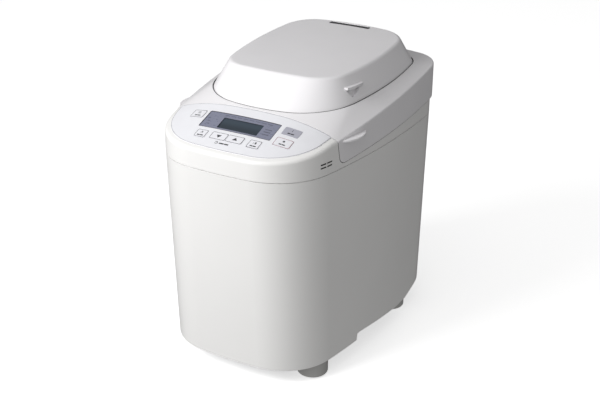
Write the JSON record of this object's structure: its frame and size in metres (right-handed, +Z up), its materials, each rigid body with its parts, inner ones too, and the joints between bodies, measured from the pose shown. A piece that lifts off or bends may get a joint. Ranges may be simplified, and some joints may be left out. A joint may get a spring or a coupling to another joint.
{
  "type": "bread machine",
  "caption": "Domestic bread machine: tapered case, sloping key panel, hinged lid with domed dispenser lid, belt-driven kneading blade in a removable pan.",
  "frame": {"origin": "on the floor under the middle of the machine's bounding box", "axes": "+Z up, front (control panel) towards -Y, +X to the right of someone facing the control panel; the machine is near symmetric about X"},
  "size_m": [0.2546, 0.3712, 0.38],
  "materials": {
    "white_plastic": "glossy moulded plastic",
    "panel_film": "satin printed film",
    "start_key_film": "satin printed film",
    "window_grey": "clear tinted window",
    "lcd_glass": "dark display",
    "circuit_board": "glass-fibre board",
    "chamber_steel": "zinc coated sheet",
    "heater_steel": "sheathed element",
    "shaft_steel": "turned steel",
    "pan_coating": "non-stick coating",
    "cast_alloy": "die cast",
    "bronze": "sintered bush",
    "black_rubber": "moulded rubber",
    "gasket_silicone": "silicone",
    "dark_plastic": "matt moulding",
    "handle_steel": "plated wire",
    "motor_paint": "painted steel",
    "flap_steel": "satin sheet"
  },
  "bodies": {
    "base": {"lower_case": "white_plastic", "base_plate": "dark_plastic", "feet": "white_plastic", "foot_pads": "black_rubber", "foot_screws": "shaft_steel", "cord_gland": "dark_plastic", "upper_frame": "white_plastic", "control_panel_sheet": "panel_film", "lcd_window": "window_grey", "lcd_module": "lcd_glass", "control_board": "circuit_board", "baking_chamber": "chamber_steel", "chamber_legs": "chamber_steel", "heater": "heater_steel", "heater_clips": "heater_steel", "temperature_sensor": "heater_steel", "pan_socket": "cast_alloy", "drive_bearing": "bronze", "drive_belt": "black_rubber", "motor_bracket": "chamber_steel", "motor": "motor_paint", "capacitor": "dark_plastic", "power_board": "circuit_board", "hinge_pins": "shaft_steel"},
    "lid": {"lid": "white_plastic", "lid_liner": "chamber_steel", "lid_gasket": "gasket_silicone", "dispenser_box": "dark_plastic", "flap_pin": "shaft_steel", "dispenser_solenoid": "motor_paint", "dispenser_lid_pins": "shaft_steel"},
    "dispenser_lid": {"dispenser_lid": "white_plastic", "steam_vent": "dark_plastic"},
    "dispenser_flap": {"dispenser_flap": "flap_steel"},
    "solenoid_plunger": {"solenoid_plunger": "shaft_steel"},
    "bread_pan": {"bread_pan": "pan_coating", "pan_base": "cast_alloy", "pan_bush": "bronze"},
    "pan_handle": {"pan_handle": "handle_steel"},
    "kneading_blade": {"kneading_blade": "pan_coating", "pan_shaft": "shaft_steel", "pan_dog": "cast_alloy"},
    "drive": {"drive_shaft": "shaft_steel", "drive_pulley": "dark_plastic", "drive_dog": "cast_alloy"},
    "motor_rotor": {"motor_shaft": "shaft_steel", "motor_pulley": "dark_plastic"},
    "menu_key": {"menu_key": "panel_film"},
    "option_key": {"option_key": "panel_film"},
    "timer_down_key": {"timer_down_key": "panel_film"},
    "timer_up_key": {"timer_up_key": "panel_film"},
    "crust_key": {"crust_key": "panel_film"},
    "start_key": {"start_key": "start_key_film"},
    "stop_key": {"stop_key": "panel_film"}
  },
  "joints": [
    {"name": "lid_hinge", "type": "hinge", "parent": "base", "child": "lid", "pos_m": [0, 0.172, 0.296], "axis": [-1, 0, 0], "range_deg": [0, 75]},
    {"name": "dispenser_lid_hinge", "type": "hinge", "parent": "lid", "child": "dispenser_lid", "pos_m": [0, 0.16, 0.3522], "axis": [-1, 0, 0], "range_deg": [0, 70]},
    {"name": "dispenser_flap_hinge", "type": "hinge", "parent": "lid", "child": "dispenser_flap", "pos_m": [0, 0.086, 0.291], "axis": [1, 0, 0], "range_deg": [0, 60]},
    {"name": "plunger_slide", "type": "slide", "parent": "lid", "child": "solenoid_plunger", "axis": [0, -1, 0], "range_m": [0, 0.006]},
    {"name": "pan_twist", "type": "hinge", "parent": "base", "child": "bread_pan", "pos_m": [0, 0.045, 0.1], "axis": [0, 0, 1], "range_deg": [0, 8]},
    {"name": "handle_swing", "type": "hinge", "parent": "bread_pan", "child": "pan_handle", "pos_m": [0, 0.045, 0.228], "axis": [-1, 0, 0], "range_deg": [0, 144]},
    {"name": "drive_spin", "type": "hinge", "parent": "base", "child": "drive", "pos_m": [0, 0.045, 0.06], "axis": [0, 0, 1], "continuous": true},
    {"name": "blade_spin", "type": "hinge", "parent": "bread_pan", "child": "kneading_blade", "pos_m": [0, 0.045, 0.1], "axis": [0, 0, 1], "continuous": true},
    {"name": "motor_spin", "type": "hinge", "parent": "base", "child": "motor_rotor", "pos_m": [0, -0.105, 0.06], "axis": [0, 0, 1], "continuous": true},
    {"name": "menu_key_press", "type": "slide", "parent": "base", "child": "menu_key", "axis": [0, 0.3379, -0.9412], "range_m": [0, 0.0005], "stiffness_N_per_m": 400},
    {"name": "option_key_press", "type": "slide", "parent": "base", "child": "option_key", "axis": [0, 0.3379, -0.9412], "range_m": [0, 0.0005], "stiffness_N_per_m": 400},
    {"name": "timer_down_key_press", "type": "slide", "parent": "base", "child": "timer_down_key", "axis": [0, 0.3379, -0.9412], "range_m": [0, 0.0005], "stiffness_N_per_m": 400},
    {"name": "timer_up_key_press", "type": "slide", "parent": "base", "child": "timer_up_key", "axis": [0, 0.3379, -0.9412], "range_m": [0, 0.0005], "stiffness_N_per_m": 400},
    {"name": "crust_key_press", "type": "slide", "parent": "base", "child": "crust_key", "axis": [0, 0.3379, -0.9412], "range_m": [0, 0.0005], "stiffness_N_per_m": 400},
    {"name": "start_key_press", "type": "slide", "parent": "base", "child": "start_key", "axis": [0, 0.3379, -0.9412], "range_m": [0, 0.0005], "stiffness_N_per_m": 400},
    {"name": "stop_key_press", "type": "slide", "parent": "base", "child": "stop_key", "axis": [0, 0.3379, -0.9412], "range_m": [0, 0.0005], "stiffness_N_per_m": 400}
  ],
  "couplings": [
    {"joint": "plunger_slide", "follows": "dispenser_flap_hinge", "m_per_rad": 0.0057},
    {"joint": "blade_spin", "follows": "drive_spin", "ratio": 1},
    {"joint": "motor_spin", "follows": "drive_spin", "ratio": 6}
  ]
}
